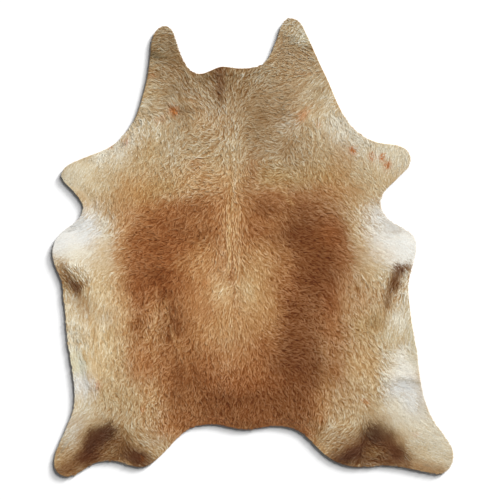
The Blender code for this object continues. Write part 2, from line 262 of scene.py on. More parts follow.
# each patch covers what is under it: its half sizes along and across, to where it half covers, how much it
# covers at its middle, how sharply it ends (1 is a soft bell) and its tilt in degrees
Patch = namedtuple("Patch", "name colour x y along across strength edge tilt", defaults=(1, 0))
patches = listOf(Patch, [
    # neck
    ("neck", "taupe", -6, 69, 40, 19, 0.75, 2),
    ("neck foot", "dust", -8, 48, 34, 7, 0.5),
    ("neck column", "taupe", 2.5, 60, 4.5, 12, 0.8),
    ("neck right of the column", "taupe", 13, 62, 7, 10, 0.6),
    ("left neck column", "taupe", -34, 60, 4, 8, 0.7),
    ("left neck grey", "greige", -36, 68, 3.5, 7, 0.6),
    ("neck middle light", "fawn", -18, 56, 9, 7, 0.5),
    ("neck middle shade", "olive", 0, 61, 7, 22, 0.34, 1.5),
    ("neck middle light top", "fawn", -24, 63, 4, 5, 0.5),
    ("left neck band", "oat", -48.5, 73.5, 4, 1.4, 0.5, 1, 5),
    ("left neck brown band", "ochre", -48, 70, 6, 1.2, 0.6, 1, 2),
    ("left neck low band", "bone", -48, 65, 6, 3.5, 0.7, 1, 5),
    ("left neck spot ring", "fawn", -43, 61, 4.5, 4.5, 0.5),
    ("left neck column shade", "olive", -31, 60, 6, 10, 0.22, 1.2),
    ("left neck shade", "taupe", -28, 76, 8, 6, 0.7),
    ("left nape shade", "olive", -29, 76, 5, 5, 0.3),
    ("left neck shade, outer", "taupe", -44, 78, 4, 3, 0.5),
    ("nape left shade", "olive", -21, 78, 4.5, 4, 0.5),
    ("nape shade", "olive", -8.5, 77.5, 5.5, 6.5, 0.85),
    ("nape tuft", "bark", -15, 80.5, 3.2, 4, 0.75, 1.2),
    ("nape wedge", "bark", -15.5, 73, 2.6, 7, 0.85, 1.2, -4),
    ("nape wedge foot", "olive", -15.5, 66, 2, 3, 0.4),
    ("nape right", "greige", 4, 79, 6, 4, 0.5),
    ("right neck light", "dust", 12, 74, 7, 5, 0.4),
    ("right neck tan", "fawn", 24, 61, 6, 4, 0.5),
    ("right neck side", "stone", 28.5, 83, 8, 6, 0.25, 1, -60),
    ("right neck edge", "bone", 36, 67, 8, 4, 0.6, 1, -62),
    ("right neck low", "oat", 33, 58, 8, 6, 0.8, 1, -30),
    # flaps
    ("left flap", "greige", -41, 92, 8, 10, 0.8, 2),
    ("left flap shade", "olive", -41, 92, 6, 8, 0.3),
    ("left flap tip", "taupe", -40, 99, 5, 3, 0.6),
    ("left flap right side", "olive", -35, 86.5, 4, 6, 0.85, 1, 20),
    ("left flap root", "taupe", -38, 82, 7, 4, 0.5),
    ("left flap smudge", "smudge", -45, 89, 4.5, 1.6, 0.85, 1.2, -18),
    ("right flap", "greige", 17.5, 98, 8, 9, 0.8, 2),
    ("right flap top", "stone", 17.5, 101, 6, 5, 0.5, 1.2),
    ("right flap brown side", "taupe", 13.5, 92, 3, 6, 0.8),
    ("right flap light", "oat", 18, 100.5, 4, 2.5, 0.5),
    ("right flap pale", "lichen", 24.5, 96, 3, 3.5, 0.8, 1.2),
    ("right flap line", "smudge", 26.5, 91, 3.5, 1.4, 0.7, 1.2, 10),
    ("right flap root", "taupe", 18, 87, 8, 4.5, 0.8),
    # shoulders and forelegs
    ("left shoulder", "straw", -46, 47, 14, 12, 0.5, 1, 30),
    ("left shoulder light", "oat", -46, 55, 7, 5, 0.7, 1, 40),
    ("left shoulder edge", "parchment", -60, 47.5, 13, 6, 0.9, 1.2, 38),
    ("left shoulder edge bloom", "ash", -60, 47, 8, 4, 0.3, 1.2, 38),
    ("left shoulder hollow", "ochre", -46.5, 44, 4.5, 3.5, 0.6),
    ("left shoulder grey", "dust", -37, 45, 5, 6, 0.7),
    ("left shoulder bloom", "lichen", -40, 41, 7, 16, 0.1, 1.2),
    ("left foreleg", "bone", -80, 33, 14, 7.5, 0.95, 1.5, 22),
    ("left foreleg light", "parchment", -79, 36, 8, 4, 0.2, 1, 22),
    ("left foreleg tip", "stone", -85, 34, 6, 6, 0.6, 1.2),
    ("left foreleg fold", "ivory", -70, 42, 3, 3.5, 0.8),
    ("left foreleg foot", "oat", -74, 25, 5, 5, 0.6),
    ("left armpit", "fawn", -71, 18.5, 4, 3, 0.6),
    ("right shoulder", "parchment", 44, 53, 11, 5.5, 0.85, 1.2, -40),
    ("right shoulder bloom", "ash", 46, 51, 10, 7, 0.25, 1.2, -35),
    ("right shoulder tan", "fawn", 41, 41, 4, 4, 0.6),
    ("right shoulder foot", "ochre", 33, 32, 9, 5, 0.85),
    ("right turn shade", "brown", 31, 26, 6, 4, 0.3, 1.2),
    ("right turn bloom", "bone", 24, 37, 10, 7, 0.18, 1.2),
    ("right of the withers", "taupe", 14, 44, 10, 7, 0.8),
    ("right foreleg", "parchment", 63, 42, 12, 7.5, 1, 1.5),
    ("right foreleg foot", "oat", 56, 34, 8, 5, 0.6, 1, 20),
    ("right armpit", "oat", 57, 24, 5, 5, 0.5),
    ("withers", "oat", -8, 45, 3.5, 7, 0.5),
    # where the neck's tan turns to the body's brown
    ("left turn", "gold", -22, 31, 14, 5, 0.7),
    ("far left turn", "gold", -52, 25.5, 8, 6, 0.85),
    ("left turn olive", "ochre", -40, 27, 6, 3.5, 0.8),
    ("left turn bloom", "oat", -40, 24, 7, 4, 0.3),
    ("left turn spot", "caramel", -26, 38, 3, 2.5, 0.5),
    ("right turn", "ochre", 12, 31, 10, 5, 0.7),
    ("right of the spine, high", "ginger", 0, 34, 3.5, 7, 0.6),
    ("far right turn", "gold", 40, 25, 8, 5, 0.7),
    # the body's brown, then the darker saddles on it
    ("body", "caramel", -8, 1, 51, 25, 0.95, 3),
    ("body middle", "caramel", -9, -33, 50, 25, 0.95, 3),
    ("body lower", "caramel", -9, -57, 45, 14, 0.9, 2.5),
    ("body foot", "caramel", -7, -72, 35, 22, 0.95, 3),
    ("left rim", "gold", -61.5, -2, 4, 20, 0.75, 1.3),
    ("left rim low", "gold", -61, -28, 5, 16, 0.85, 1.2),
    ("left saddle top", "ginger", -38, 17, 17, 5, 0.8),
    ("left saddle top dark", "brown", -26, 17, 5, 3, 0.6),
    ("left saddle top spot", "brown", -45, 13.5, 4, 2.2, 0.8, 1, -25),
    ("left saddle", "rust", -42.5, 0, 15.5, 13.5, 0.95, 1.6),
    ("left saddle upper dark", "brown", -47, 5, 6, 5, 0.6),
    ("left saddle middle dark", "brown", -34, 8, 4, 5, 0.6),
    ("left saddle inner dark", "brown", -23, 6, 5.5, 4.5, 0.8),
    ("left saddle side", "rust", -54, -10, 4, 11, 0.6, 1.2),
    ("left saddle foot", "rust", -45, -17, 13, 8, 0.95, 1.5),
    ("left saddle heart", "chestnut", -44, -14, 7, 4, 0.6, 1.2),
    ("left saddle gap", "ginger", -33, -8, 4, 9, 0.7),
    ("left loin knot", "chestnut", -41, -22, 3.5, 2.2, 0.8, 1.2, 20),
    ("left loin", "brown", -36.5, -33, 4.5, 9, 0.75, 1.2),
    ("left loin dark", "chestnut", -36, -38, 3.5, 3, 0.5),
    ("left loin edge", "rust", -53.5, -27, 4, 8, 0.6, 1.2),
    ("left loin streak", "caramel", -47, -28, 1.8, 6, 0.8, 1.2, -12),
    ("left loin edge spot", "brown", -53.5, -37, 3.5, 3, 0.8, 1.2),
    ("left haunch light", "fawn", -43.5, -38, 2.5, 5, 0.4),
    ("left inner loin", "brown", -28, -40, 4, 7, 0.4),
    ("left haunch", "rust", -47, -54, 7, 6, 0.6),
    ("left haunch dark", "brown", -35, -62, 5, 13, 0.9, 1.3),
    ("left rump", "brown", -24, -60, 7, 10, 0.9, 1.2),
    ("left rump foot", "ginger", -34, -79, 7, 6, 0.7, 1.2),
    ("left rump edge", "caramel", -39, -84, 5, 3.5, 0.9, 1.2, -40),
    ("left rump tail side", "brown", -30, -83, 5, 3, 0.6, 1.2, -20),
    ("left haunch foot", "ginger", -41, -64, 3, 6, 0.6),
    ("right saddle top", "ginger", 12, 22, 16, 4.5, 0.75),
    ("right saddle top left", "brown", 6.5, 18.5, 5, 4, 0.6, 1.2),
    ("right saddle top dark", "brown", 24, 16, 9, 5, 0.8, 1.2),
    ("right of the spine", "rust", 2, 7, 6, 6, 0.6),
    ("right saddle", "chestnut", 26, 4, 15, 8.5, 0.95, 2),
    ("right saddle side", "rust", 37.5, 6, 6, 13, 0.8, 1.3),
    ("right saddle middle", "brown", 27, -8, 15, 8, 0.9, 1.5),
    ("right saddle middle dark", "chestnut", 31, -5, 7, 5, 0.7, 1.3),
    ("right saddle foot", "chestnut", 29, -17, 11, 6.5, 0.95, 1.5),
    ("right saddle lower side", "ginger", 44, -12, 4.5, 14, 0.85),
    ("right saddle inner side", "rust", 16, -22, 5, 12, 0.75, 1.2),
    ("right loin", "brown", 24, -30, 10, 9, 0.8, 1.5),
    ("right loin dark", "chestnut", 20, -31, 4, 5, 0.6),
    ("right loin side", "rust", 37, -26, 5.5, 8, 0.85, 1.2),
    ("right loin side foot", "ginger", 37, -38, 6, 7, 0.8, 1.2),
    ("right loin edge", "caramel", 44.5, -36, 4.5, 14, 0.7, 1.2),
    ("right loin foot", "brown", 23, -42, 9, 8, 0.85, 1.5),
    ("right haunch", "chestnut", 17.5, -54, 9, 13, 0.95, 1.5),
    ("right haunch side", "chestnut", 28, -60.5, 9.5, 13, 0.9, 1.5),
    ("right haunch rim", "ginger", 38.5, -56, 4, 13, 0.7, 1.2),
    ("right rump", "brown", 15, -69, 12, 9, 0.95, 1.5),
    ("right rump side", "ginger", 30, -75, 5, 9, 0.85, 1.2),
    ("right rump shade", "brown", 22, -77, 6, 8, 0.75),
    ("right rump lower edge", "ginger", 25, -85, 5, 3.5, 0.85, 1.2, -40),
    ("right rump outer edge", "gold", 34, -70, 4, 12, 0.6),
    ("rump", "brown", -5, -74, 26, 10, 0.95, 2),
    ("left rump heart", "chestnut", -15, -70, 5, 4, 0.7),
    ("rump heart", "chestnut", -2, -70, 5, 5, 0.7),
    ("rump rim", "chestnut", -4, -81, 24, 2.5, 0.5),
    # spine and back
    ("left loin depth", "mahogany", -37, -37, 12, 22, 0.12, 2),
    ("right saddle depth", "mahogany", 30, -6, 14, 26, 0.15, 2),
    ("spine", "gold", -9, 12, 4.5, 20, 0.8, 1.3),
    ("left of the spine", "ginger", -16, 8, 2.5, 5, 0.25),
    ("left back", "gold", -22, -8, 6, 8, 0.9, 1.2),
    ("left back low", "caramel", -22, -14, 5, 7, 0.4, 1.2),
    ("right back", "gold", 5, -8, 8, 8, 0.95, 1.2),
    ("right back low", "gold", 5, -24, 6, 12, 0.9, 1.2),
    ("right back edge", "caramel", 13, -10, 4, 8, 0.6),
    ("left wing", "honey", -14.5, -21, 6, 8, 0.9, 1.2, 30),
    ("right wing", "honey", -2, -20, 5, 9, 1),
    ("right wing light", "sand", -2.5, -21, 3, 6, 0.6),
    ("left wing light", "sand", -15, -21, 3, 4, 0.5, 1, 30),
    ("wing middle", "gold", -8, -12, 4, 8, 0.6),
    ("back bloom", "bone", -12, -32, 9, 27, 0.13, 2),
    ("loin", "gold", -11, -37, 12, 11, 0.9, 1.3),
    ("left loin spots", "ginger", -21, -30, 3, 3, 0.4, 1.2),
    ("loin foot", "caramel", -8, -51, 12, 7, 0.85, 1.2),
    ("loin right", "ginger", 4, -50, 6, 9, 0.8, 1.2),
    ("loin end", "rust", -4, -62, 14, 5, 0.75, 1.2),
    # flanks and belly
    ("left belly side", "parchment", -70, 3, 5, 14, 0.85, 1.2, 8),
    ("left belly", "ash", -83.5, 5, 13, 9, 1, 2.5, 28),
    ("left belly bloom", "cream", -80, 2, 8, 7, 0.3, 1.5, 10),
    ("left belly foot", "ivory", -79, -6, 6, 6, 0.9, 1.3),
    ("left belly top", "ash", -76.5, 12, 6, 4.5, 0.8, 1.2),
    ("left flank", "sand", -71.5, -32, 10, 24, 0.75, 2),
    ("left flank rim", "bone", -83, -36, 5, 15, 0.8, 1.5),
    ("left flank streak", "ochre", -65.5, -38, 1.8, 6, 0.6),
    ("left flank lower", "sand", -69, -54, 10, 9, 0.6, 1.5),
    ("left waist rim", "lichen", -81, -54, 5, 10, 0.95, 1.5),
    ("left hock rim", "ash", -79, -65, 6, 6, 0.95, 1.5),
    ("left hock", "parchment", -78.5, -74, 6.5, 5, 0.7, 1.2),
    ("left thigh", "straw", -60, -71, 11, 8, 0.85, 1.3),
    ("left thigh shade", "taupe", -59, -77, 7, 4, 0.3),
    ("left haunch side", "caramel", -52.5, -51, 5, 11, 0.85, 1.2),
    ("left thigh gold", "gold", -48, -68, 4, 5, 0.7),
    ("left thigh foot", "fawn", -48, -81, 5, 6, 0.8, 1.2),
    ("left heel side", "dust", -45, -90, 5, 4, 0.7),
    ("left shin", "stone", -85, -86, 5, 7, 0.95, 1.5, -20),
    ("left shin light", "ash", -82.5, -83, 3.5, 5, 0.5, 1.2, -20),
    ("right belly side", "sand", 50.5, 7, 4.5, 9, 0.8, 1.2),
    ("right belly", "cream", 69, -0.5, 13.5, 9.5, 1, 2),
    ("right belly top", "ash", 61, 13, 9, 5.5, 0.95, 1.5, -20),
    ("right belly edge", "cream", 57, 6.5, 4, 6, 0.6, 1, 10),
    ("right flank top", "sand", 54, -14, 6, 5, 0.7),
    ("right side depth", "mahogany", 48, -24, 6, 28, 0.12, 1.5),
    ("right flank", "fawn", 49, -36, 7, 22, 0.8, 1.8),
    ("right flank side", "oat", 60, -36, 7, 14, 0.6, 1.5),
    ("right flank rim", "bone", 71, -30, 5, 16, 0.9, 1.5),
    ("right waist shade", "oat", 66, -24, 4, 3, 0.8),
    ("right flank light", "ivory", 67, -33, 3.5, 4, 0.9),
    ("right flank spots", "ochre", 57, -36, 4.5, 6, 0.7),
    ("right flank olive", "ochre", 50, -36, 3.5, 6, 0.5),
    ("right flank lower", "honey", 53, -54, 9, 9, 0.6, 1.3),
    ("right flank cream", "ivory", 69, -54, 6.5, 7.5, 0.95, 2),
    ("right flank bloom", "cream", 69, -57, 7, 9, 0.5, 1.5),
    ("right flank greenish rim", "lichen", 75, -44, 3, 7, 0.8),
    ("right flank tint", "lichen", 62, -56, 2.5, 7, 0.4),
    ("right hock", "ash", 70, -67, 8, 7, 0.95, 2),
    ("right hock low", "parchment", 72, -79, 12, 7, 0.95, 1.5, -15),
    ("right hock grey", "ash", 74, -74, 6, 4, 0.7, 1, -50),
    ("right hock light", "ivory", 66, -75, 4, 5, 0.5),
    ("right thigh", "fawn", 43, -72, 8.5, 9, 0.85, 1.5),
    ("right thigh grey", "straw", 48, -79, 9, 5, 0.7),
    ("right heel side", "dust", 38, -88, 6, 5, 0.8, 1, -40),
    ("right rump edge", "olive", 31, -87.5, 6, 4, 0.5, 1, -45),
    ("right shin", "parchment", 83, -91, 12, 8, 0.95, 2, -40),
    ("right shin shade", "stone", 85, -94, 9, 6, 0.8, 1.5, -40),
    ("right shin brown", "dust", 77, -97, 6, 4, 0.4, 1, -35),
    ("right shin foot", "oat", 80, -98, 8, 4, 0.8, 1, -30),
    ("right shin light", "ivory", 80, -84, 5, 3.5, 0.4, 1, -45),
    # small lights and shades all over
    ("left of the spine, low", "caramel", -20, -10, 6, 11, 0.3),
    ("loin left foot", "rust", -20, -55, 5, 6, 0.4),
    ("loin right foot", "chestnut", 10, -55, 5, 6, 0.25),
    ("right loin middle", "chestnut", 30, -25, 5, 6, 0.25),
    ("right flank light, low", "bone", 63, -42, 4, 5.5, 0.6),
    ("left hock stone", "stone", -80, -75, 5, 5, 0.4),
    ("right shin stone", "stone", 80, -95, 5, 5, 0.3),
    ("right shoulder caramel", "caramel", 40, 35, 6, 5, 0.25),
    ("left hock shade", "dust", -83, -82.5, 5, 4, 0.5),
    ("neck right light", "ivory", 17.5, 57.5, 3.5, 3.5, 0.2),
    ("right neck side dusk", "taupe", 33, 77.5, 3, 3, 0.35),
    ("neck light band", "bone", -19, 62.5, 11, 3.5, 0.2),
    ("left shoulder light, outer", "parchment", -57.5, 50, 3.5, 4.5, 0.3),
    ("right shoulder light", "ivory", 46, 51, 8, 6, 0.25),
    ("left armpit spot", "dust", -77.5, 22, 3, 3, 0.35),
    ("right armpit rim", "honey", 50, 17.5, 8, 3.5, 0.25),
    ("right belly fold light", "cream", 59.5, 10.5, 4.5, 4.5, 0.35),
    ("right saddle corner", "rust", 30, 21, 5, 4, 0.2),
    ("left belly rim", "honey", -69, -1, 4, 5, 0.3),
    ("left back gold", "gold", -32.5, -7.5, 3, 3, 0.3),
    ("left flank white", "ivory", -67.5, -32.5, 3, 3, 0.35),
    ("left flank edge white", "ivory", -82.5, -42.5, 2.5, 3, 0.4),
    ("left haunch red", "rust", -47.5, -58, 3.5, 7, 0.3),
    ("right flank oat", "oat", 72.5, -48, 3, 4, 0.3),
    ("right flank sand", "sand", 62.5, -55, 3.5, 4, 0.25),
    ("right flank white", "cream", 77.5, -67.5, 3.5, 3.5, 0.35),
    ("left saddle top, outer", "ochre", -50, 24, 7, 5, 0.4),
    ("left saddle top edge", "copper", -52, 13, 7, 9, 0.15),
    ("right saddle top, outer", "copper", 30, 25, 8, 5, 0.1),
    ("right belly rim", "sand", 51, 14, 4, 5, 0.3),
    ("right belly foot", "sand", 58, -4, 6, 4, 0.35),
    ("right flank top, inner", "caramel", 50, -25, 5, 6, 0.3),
    ("left heel caramel", "caramel", -40, -85, 7, 5, 0.4),
    ("right haunch foot", "chestnut", 30, -61, 7, 8, 0.22),
    ("right neck dusk", "greige", 30, 74, 4, 5, 0.35),
    ("left flap light", "dust", -40, 95, 4, 4, 0.25),
    ("right foreleg light", "ivory", 70, 35, 6, 5, 0.2),
    ("right belly light", "cream", 60, 16, 5, 5, 0.2),
    ("loin light", "sand", -10, -45, 5, 6, 0.15),
    ("left armpit dusk", "dust", -80, 25, 5, 4, 0.25),
    ("left flank light", "ivory", -80.5, -45, 4, 4, 0.25),
    ("left flank upper light", "ivory", -83, -36, 2.5, 3, 0.35),
    ("left flank inner light", "bone", -71, -28, 3, 3, 0.35),
    ("left flank dusk", "taupe", -79, -30, 2.5, 4, 0.25),
    ("left belly low", "ivory", -86, -4.5, 4, 3, 0.35),
    ("left mark ground", "bone", -78, -13, 3, 3, 0.4),
    ("right mark ground", "bone", 60, -12.5, 3.5, 4, 0.5),
    ("right mark outer ground", "ivory", 70.5, -19, 3, 8, 0.4),
    # dark marks at the belly, and the dark arches on the hind legs
    ("left mark fade", "taupe", -79.5, -24.5, 7.5, 4.2, 0.85, 1.2, -58),
    ("left mark", "bark", -86.6, -12, 5.2, 3, 0.47, 3, -58),
    ("left mark edge", "olive", -87, -16.5, 2.5, 2.5, 0.6),
    ("left mark core", "umber", -82.2, -18.4, 4, 2.6, 0.9, 1.3, -50),
    ("left mark branch", "bark", -78, -17.3, 2.6, 1.5, 0.6, 1.2, 25),
    ("right mark fade", "fawn", 62, -23, 6, 5, 0.7),
    ("right mark head", "bark", 70, -9.9, 4.4, 2.3, 0.88, 2, -10),
    ("right mark core", "umber", 68, -11.5, 2, 2.6, 0.75, 1.2),
    ("right mark", "bark", 64.6, -17.4, 2.9, 6.2, 0.85, 2, -20),
    ("right mark spine", "umber", 65, -15.5, 1.7, 4.6, 0.5, 1.3, -16),
    ("right mark foot", "bark", 61, -25.5, 1.7, 3.2, 0.75, 1.2, -16),
    ("right mark end", "olive", 57, -34, 2.6, 2, 0.5),
    ("right mark inner shade", "fawn", 57, -21, 2.5, 4, 0.6),
    ("left hind fade", "dust", -68, -79, 9, 3, 0.6),
    ("left hind shade", "bark", -67, -92, 12, 8.3, 0.9, 2),
    ("left hind apex", "soot", -68.6, -85.4, 6.2, 4.2, 0.9, 1.4, 5),
    ("left hind outer arch", "umber", -75.5, -94.3, 4.8, 9.4, 0.95, 1.5, -37),
    ("left hind outer core", "soot", -75.6, -94, 3, 7.5, 0.7, 1.2, -37),
    ("left hind inner arch", "umber", -54.3, -96.4, 7.8, 4.8, 0.95, 1.5, -16),
    ("left hind inner core", "soot", -52, -97, 4.5, 2.4, 0.5, 1.2, -15),
    ("left hind inner side", "olive", -58, -91, 4, 3, 0.3, 1, -40),
    ("left hind hollow", "olive", -65, -95.5, 3.4, 3.8, 0.65, 1.3),
    ("left hind foot", "taupe", -86.5, -96, 4.2, 4, 0.72, 1.2),
    ("left toe", "bark", -86.5, -103, 6, 4, 0.8, 1.5),
    ("right hind fade", "dust", 57, -80, 8, 2.5, 0.7),
    ("right hind shade", "bark", 54.5, -92.5, 14, 8.5, 0.95, 2),
    ("right hind apex", "soot", 56, -86.3, 7, 4.5, 0.85, 1.4),
    ("right hind outer arch", "umber", 66.5, -95.5, 8.5, 4.2, 0.95, 1.5, -44),
    ("right hind inner arch", "umber", 43, -96, 9.5, 4.2, 0.95, 1.5, 20),
    ("right hind inner core", "soot", 47, -94, 7, 2.4, 0.5, 1.2, 28),
    ("right hind edge", "umber", 62, -100.5, 6, 1.6, 0.7, 1.3),
    ("right hind hollow", "olive", 55.5, -95, 3.6, 2.4, 0.6, 1.3),
    ("right toe", "taupe", 81, -103, 9, 3.4, 0.85, 1.3, -8),
    # their feet and the hind edge, darker towards the floor: painted shade along the curled hind edge
    ("left hind outer foot", "umber", -77, -98, 6, 3.4, 0.6, 1.3),
    ("left hind inner foot", "umber", -49, -98.5, 5, 2.8, 0.6, 1.3),
    ("left hind foot dusk", "bark", -84, -96, 7, 5, 0.2),
    ("right hind outer dusk", "bark", 70, -95, 5, 4, 0.15),
    ("left hind side light", "dust", -78.5, -86.5, 2.5, 2.5, 0.3),
    ("right heel light", "fawn", 36.5, -91.5, 3, 3, 0.3),
    ("right hind top light", "dust", 52, -81.5, 3, 2.5, 0.3),
    # painted shade: dark bands just inside the hind edge, where it curls off the floor
    ("tail edge", "soot", -4, -85, 20, 2.8, 0.35, 1.3),
    ("rump right edge", "umber", 19, -84.5, 7, 4, 0.5, 1.3, -35),
    ("right heel foot", "soot", 43.5, -100, 7, 3.2, 0.5, 1.3, 15),
    ("right arch foot", "umber", 60, -99.5, 11, 2.6, 0.45, 1.3),
    ("right toes foot", "bark", 81, -103.5, 10, 2.6, 0.3, 1.3, -6),
    ("left arch foot", "umber", -68, -98.5, 12, 2.4, 0.3, 1.3, 3),
    ("left toes foot", "bark", -88, -103, 6, 3, 0.35, 1.3),
])

# thin marks: from one end to the other, their half width, and how far their middle bows to the right
Stroke = namedtuple("Stroke", "name colour x0 y0 x1 y1 width bow strength")
strokes = listOf(Stroke, [
    # painted light along the ridges of the right neck wrinkles, and painted shade between them
    ("neck streak", "oat", 20.3, 76, 26, 78.5, 0.7, 0, 0.5),
    ("neck long streak", "bone", 22, 68.5, 35, 75.5, 0.8, 2.5, 0.6),
    ("neck middle streak", "oat", 23, 66, 31.5, 71.5, 0.6, 0.8, 0.5),
    ("neck low streak", "bone", 20.5, 62, 27, 68.5, 0.6, 0.8, 0.4),
    ("neck side streak", "ivory", 33, 64, 38, 70, 0.8, 0.5, 0.3),
    ("neck streak shade", "taupe", 25, 69, 33, 73, 0.6, 1.4, 0.5),
    ("neck dark line", "ginger", 20, 80.5, 29, 80, 0.6, -1, 0.35),
    ("left nape line", "straw", -28.5, 78, -17, 66, 0.9, -0.6, 0.55),
    ("left nape shade", "olive", -24.5, 78, -17.5, 68, 0.8, -0.5, 0.4),
    ("right nape line", "dust", -5, 79.5, -11, 71, 0.8, 0.6, 0.6),
    ("neck left line", "fawn", -29, 70, -24, 55, 0.7, 0.4, 0.4),
    ("spine light strand", "honey", -11, 9, -11, -12.5, 0.7, 0.3, 0.7),
    ("spine dark strand", "rust", -9.6, 6, -9.7, -12, 0.5, 0, 0.6),
    ("spine left strand", "rust", -13, 26, -12.5, 6, 0.4, -0.3, 0.4),
    ("whorl", "rust", -10, -12.5, -10, -15.5, 1.3, 0, 0.65),
    ("loin line", "rust", -8.8, -18, -8, -60, 0.5, 0.5, 0.45),
    ("loin side line", "ginger", -6.2, -26, -5.6, -52, 0.4, 0.3, 0.35),
    ("withers line", "ochre", -10.5, 52, -10.2, 14, 0.4, 0.3, 0.4),
    ("withers light line", "oat", -8, 58, -8.2, 20, 0.6, -0.3, 0.4),
    ("left loin tuft", "gold", -44.5, -27, -48, -43, 1.2, 1.0, 0.45),
    ("left loin strand", "gold", -40, -24, -33.5, -47, 0.8, -1.6, 0.4),
    ("left haunch strand", "gold", -50.5, -38, -44.5, -60, 0.9, 1.3, 0.35),
    ("left loin dark strand", "chestnut", -38.5, -27, -41, -50, 0.8, 1.2, 0.4),
    ("parting", "sand", -11.5, -18, -17, -24, 1.0, -0.4, 0.4),
    ("right turn line", "honey", 12, 28, 18, 19, 0.7, 0.6, 0.5),
    # painted shade along the left flank crease
    ("left flank wrinkle", "ochre", -80, -45, -76.5, -53, 0.9, 0.6, 0.8),
    ("left flank lower line", "honey", -76, -57, -74, -68, 0.7, 0.3, 0.3),
    ("left flank pale line", "ivory", -77, -30, -76.5, -40, 1.2, 0, 0.3),
    # painted shade on the folds of the belly corners
    ("left belly fold", "ash", -76, 13.5, -71, 6, 1.2, 0.6, 0.6),
    ("left belly fold shade", "dust", -77, 16, -72, 9, 0.6, 0.5, 0.25),
    ("right belly fold", "dust", 55, 9, 68, 7, 0.7, -0.8, 0.25),
    # painted shade along the right hock creases
    ("right hock crease", "greige", 66, -61, 78, -63, 0.8, 0.6, 0.5),
    ("right hock side crease", "dust", 77, -65, 77, -76, 0.9, 0, 0.35),
    ("right waist line", "dust", 64, -20, 72, -25, 0.6, 0.5, 0.5),
])

# small rusty spots: half width in cm
Spot = namedtuple("Spot", "name x y size strength")
flecks = listOf(Spot, [
    ("left neck", -36.3, 62.5, 2.2, 1),
    ("left neck below", -41.5, 59, 1.6, 0.4),
    ("left neck low", -44, 58, 1.2, 0.4),
    ("left neck edge", -65.7, 46.3, 1.0, 0.7),
    ("left shoulder edge", -58.5, 48.5, 1.5, 0.5),
    ("left flap side", -46, 79, 1.0, 0.4),
    ("right neck", 22.6, 60, 1.8, 0.7),
    ("right neck above", 24.5, 62, 1.3, 0.4),
    ("right neck below", 29.5, 56, 1.3, 0.4),
    ("right shoulder", 46, 44.3, 1.6, 1),
    ("right foreleg first", 54.7, 41.5, 1.6, 0.9),
    ("right foreleg second", 59.3, 40.8, 1.5, 1),
    ("right foreleg third", 62, 37.7, 1.6, 1),
    ("left back", -22, -16.5, 1.6, 0.4),
    ("left thigh", -71.3, -64, 1.3, 0.6),
    ("left haunch", -50.6, -75, 1.0, 0.7),
    ("left heel", -50.5, -97.4, 0.9, 0.3),
    ("right thigh", 52, -71.5, 1.3, 0.8),
    ("right haunch", 31.7, -79.5, 1.1, 0.4),
    ("right shin", 75, -86.5, 1.4, 0.3),
])

# noise moves the places of patches, and of strokes and flecks: how far, its size, its seeds for x and y
patchWander = ((0.8 * cm, 9 * cm, 1, 3), (1.2 * cm, 3 * cm, 2, 4))
markWander = ((0.25 * cm, 1.5 * cm, 5, 6),)

# the middle tones are the most golden; the haze is what the hair's gloss and the light between the hairs add
grade = {
    "lightShares": (0.3, 0.6, 0.1), "middle": 0.21, "spread": 0.45, "golden": (0.012, -0.018, -0.08),
    "gain": (0.955, 0.99, 1.025), "haze": (-0.003, 0.009, 0.0165), "dark": 0.10, "least": 0.004,
}


# How much light gives a colour from 0 to 255, by the curve of screens.
def linear(colour):
    c = np.asarray(colour, float) / 255
    return np.where(c <= 0.04045, c / 12.92, ((c + 0.055) / 1.055) ** 2.4)


# Places, each moved by the sum of some waves of noise.
def wander(x, y, waves):
    movedX, movedY = x, y
    for far, size, seedX, seedY in waves:
        movedX = movedX + far * softNoise(x, y, size, seedX)
        movedY = movedY + far * softNoise(x, y, size, seedY)
    return movedX, movedY


# The patches laid over straw in turn, then the strokes and flecks. Each place is first moved a little by
# noise, so their edges wander. The middle tones are then warmed by exp(-(ln(light / middle) / spread)^2) of
# the golden shares, and the haze is taken off, less of it where the coat is dark.
def coatColour(x, y):
    colour = np.tile(linear(hair["straw"]), (len(x), 1))

    def cover(shade, share):
        colour[:] += share[:, None] * (linear(hair[shade]) - colour)

    wx, wy = wander(x, y, patchWander)
    for p in patches:
        turn = np.radians(p.tilt)
        dx, dy = wx - p.x * cm, wy - p.y * cm
        u = (dx * np.cos(turn) + dy * np.sin(turn)) / (p.along * cm)
        v = (dy * np.cos(turn) - dx * np.sin(turn)) / (p.across * cm)
        cover(p.colour, p.strength * 0.5 ** ((u * u + v * v) ** p.edge))
    nx, ny = wander(x, y, markWander)
    for s in strokes:
        rx, ry = (s.x1 - s.x0) * cm, (s.y1 - s.y0) * cm
        run = np.hypot(rx, ry)
        dx, dy = nx - s.x0 * cm, ny - s.y0 * cm
        t = (dx * rx + dy * ry) / run**2
        off = (dy * rx - dx * ry) / run - s.bow * cm * 4 * np.clip(t, 0, 1) * (1 - np.clip(t, 0, 1))
        past = np.maximum(np.abs(t - 0.5) - 0.5, 0) * run
        cover(s.colour, s.strength * np.exp(-(off**2 + past**2) / (s.width * cm) ** 2))
    for s in flecks:
        away = np.hypot(nx - s.x * cm, ny - s.y * cm) / (s.size * cm)
        cover("copper", s.strength * np.exp(-(away**2)))
    light = colour @ np.array(grade["lightShares"])
    golden = np.exp(-((np.log(light / grade["middle"]) / grade["spread"]) ** 2))
    colour *= 1 + golden[:, None] * np.array(grade["golden"])
    haze = np.minimum(light / grade["dark"], 1)[:, None] * np.array(grade["haze"])
    return np.maximum(colour * grade["gain"] - haze, grade["least"])


